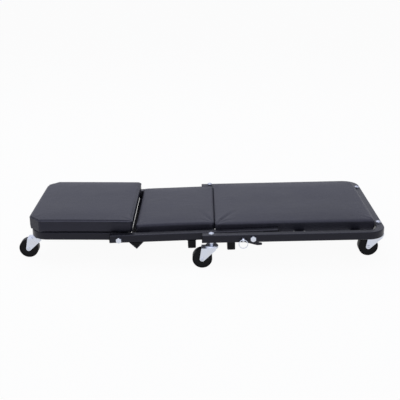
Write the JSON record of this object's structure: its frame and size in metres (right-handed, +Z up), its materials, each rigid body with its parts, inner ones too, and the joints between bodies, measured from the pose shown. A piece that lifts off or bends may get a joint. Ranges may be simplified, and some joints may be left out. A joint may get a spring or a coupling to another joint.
{
  "type": "folding creeper seat",
  "caption": "Padded mechanic's creeper on swivel casters whose hinged sections fold up and lock as a low rolling seat.",
  "frame": {"origin": "on the floor, under the middle of the creeper's overall box as it lies flat", "axes": "+X along the creeper towards the closed end of the base, +Y across it, +Z up"},
  "size_m": [0.9502, 0.432, 0.1234],
  "materials": {
    "frame_paint": "satin black powder coat",
    "vinyl": "black vinyl with a soft sheen",
    "board": "raw pressed board",
    "plug": "moulded black plastic",
    "wheel": "moulded black plastic",
    "zinc": "bright zinc plate",
    "plated_pin": "bright zinc plate"
  },
  "bodies": {
    "base": {"base_frame": "frame_paint", "base_cross_tube": "frame_paint", "base_end_plugs": "plug", "base_straps": "frame_paint", "base_pad_brackets": "frame_paint", "base_pad_board": "board", "base_pad_cushion": "vinyl", "base_pad_screws": "zinc", "arm_strap_screws": "frame_paint", "base_caster_stems": "zinc", "base_caster_nuts": "zinc", "base_caster_races": "zinc", "pivot_bolts": "zinc", "pivot_nuts": "zinc", "pin_springs": "plated_pin"},
    "middle": {"middle_rail_near": "frame_paint", "middle_rail_far": "frame_paint", "middle_cross_tube": "frame_paint", "stop_bar": "frame_paint", "middle_end_plugs": "plug", "middle_straps": "frame_paint", "lock_plates": "frame_paint", "middle_pad_board": "board", "middle_pad_cushion": "vinyl", "middle_pad_screws": "zinc", "hinge_bolts": "zinc", "hinge_nuts": "zinc", "hinge_spacers": "zinc"},
    "seat": {"seat_frame": "frame_paint", "seat_end_plugs": "plug", "seat_straps": "frame_paint", "seat_pad_board": "board", "seat_pad_cushion": "vinyl", "seat_pad_screws": "zinc", "seat_caster_stems": "zinc", "seat_caster_nuts": "zinc", "seat_caster_races": "zinc"},
    "pull_pin_near": {"pull_pin_near": "plated_pin"},
    "pull_pin_far": {"pull_pin_far": "plated_pin"},
    "pull_ring_near": {"pull_ring_near": "plated_pin"},
    "pull_ring_far": {"pull_ring_far": "plated_pin"},
    "end_caster_near": {"end_fork_near": "zinc", "end_axle_near": "zinc"},
    "end_wheel_near": {"end_wheel_near": "wheel"},
    "end_caster_far": {"end_fork_far": "zinc", "end_axle_far": "zinc"},
    "end_wheel_far": {"end_wheel_far": "wheel"},
    "arm_caster_near": {"arm_fork_near": "zinc", "arm_axle_near": "zinc"},
    "arm_wheel_near": {"arm_wheel_near": "wheel"},
    "arm_caster_far": {"arm_fork_far": "zinc", "arm_axle_far": "zinc"},
    "arm_wheel_far": {"arm_wheel_far": "wheel"},
    "seat_caster_near": {"seat_fork_near": "zinc", "seat_axle_near": "zinc"},
    "seat_wheel_near": {"seat_wheel_near": "wheel"},
    "seat_caster_far": {"seat_fork_far": "zinc", "seat_axle_far": "zinc"},
    "seat_wheel_far": {"seat_wheel_far": "wheel"}
  },
  "joints": [
    {"name": "base_pivot", "type": "hinge", "parent": "base", "child": "middle", "pos_m": [0.1341, 0, 0.0765], "axis": [0, 1, 0], "range_deg": [0, 138.98]},
    {"name": "seat_hinge", "type": "hinge", "parent": "middle", "child": "seat", "pos_m": [-0.20383, 0, 0.07004], "axis": [0, -1, 0], "range_deg": [-8, 140.6]},
    {"name": "pull_pin_slide_near", "type": "slide", "parent": "base", "child": "pull_pin_near", "axis": [0, -1, 0], "range_m": [-0.005, 0], "stiffness_N_per_m": 300, "springref_m": -0.012},
    {"name": "pull_ring_swing_near", "type": "hinge", "parent": "pull_pin_near", "child": "pull_ring_near", "pos_m": [0.1091, -0.212, 0.0765], "axis": [-1, 0, 0], "range_deg": [-10, 90]},
    {"name": "pull_pin_slide_far", "type": "slide", "parent": "base", "child": "pull_pin_far", "axis": [0, 1, 0], "range_m": [-0.005, 0], "stiffness_N_per_m": 300, "springref_m": -0.012},
    {"name": "pull_ring_swing_far", "type": "hinge", "parent": "pull_pin_far", "child": "pull_ring_far", "pos_m": [0.1091, 0.212, 0.0765], "axis": [1, 0, 0], "range_deg": [-10, 90]},
    {"name": "end_swivel_near", "type": "hinge", "parent": "base", "child": "end_caster_near", "pos_m": [0.4581, -0.138, 0.0665], "axis": [0, 0, 1], "continuous": true},
    {"name": "end_wheel_spin_near", "type": "hinge", "parent": "end_caster_near", "child": "end_wheel_near", "pos_m": [0.4341, -0.138, 0.025], "axis": [0, 1, 0], "continuous": true},
    {"name": "end_swivel_far", "type": "hinge", "parent": "base", "child": "end_caster_far", "pos_m": [0.4581, 0.138, 0.0665], "axis": [0, 0, 1], "continuous": true},
    {"name": "end_wheel_spin_far", "type": "hinge", "parent": "end_caster_far", "child": "end_wheel_far", "pos_m": [0.4341, 0.138, 0.025], "axis": [0, 1, 0], "continuous": true},
    {"name": "arm_swivel_near", "type": "hinge", "parent": "base", "child": "arm_caster_near", "pos_m": [0.0301, -0.193, 0.0665], "axis": [0, 0, 1], "continuous": true},
    {"name": "arm_wheel_spin_near", "type": "hinge", "parent": "arm_caster_near", "child": "arm_wheel_near", "pos_m": [0.0061, -0.193, 0.025], "axis": [0, 1, 0], "continuous": true},
    {"name": "arm_swivel_far", "type": "hinge", "parent": "base", "child": "arm_caster_far", "pos_m": [0.0301, 0.193, 0.0665], "axis": [0, 0, 1], "continuous": true},
    {"name": "arm_wheel_spin_far", "type": "hinge", "parent": "arm_caster_far", "child": "arm_wheel_far", "pos_m": [0.0061, 0.193, 0.025], "axis": [0, 1, 0], "continuous": true},
    {"name": "seat_swivel_near", "type": "hinge", "parent": "seat", "child": "seat_caster_near", "pos_m": [-0.42502, -0.104, 0.06585], "axis": [0.0263, 0, 0.9997], "continuous": true},
    {"name": "seat_wheel_spin_near", "type": "hinge", "parent": "seat_caster_near", "child": "seat_wheel_near", "pos_m": [-0.4501, -0.104, 0.025], "axis": [0, 1, 0], "continuous": true},
    {"name": "seat_swivel_far", "type": "hinge", "parent": "seat", "child": "seat_caster_far", "pos_m": [-0.42502, 0.104, 0.06585], "axis": [0.0263, 0, 0.9997], "continuous": true},
    {"name": "seat_wheel_spin_far", "type": "hinge", "parent": "seat_caster_far", "child": "seat_wheel_far", "pos_m": [-0.4501, 0.104, 0.025], "axis": [0, 1, 0], "continuous": true}
  ]
}
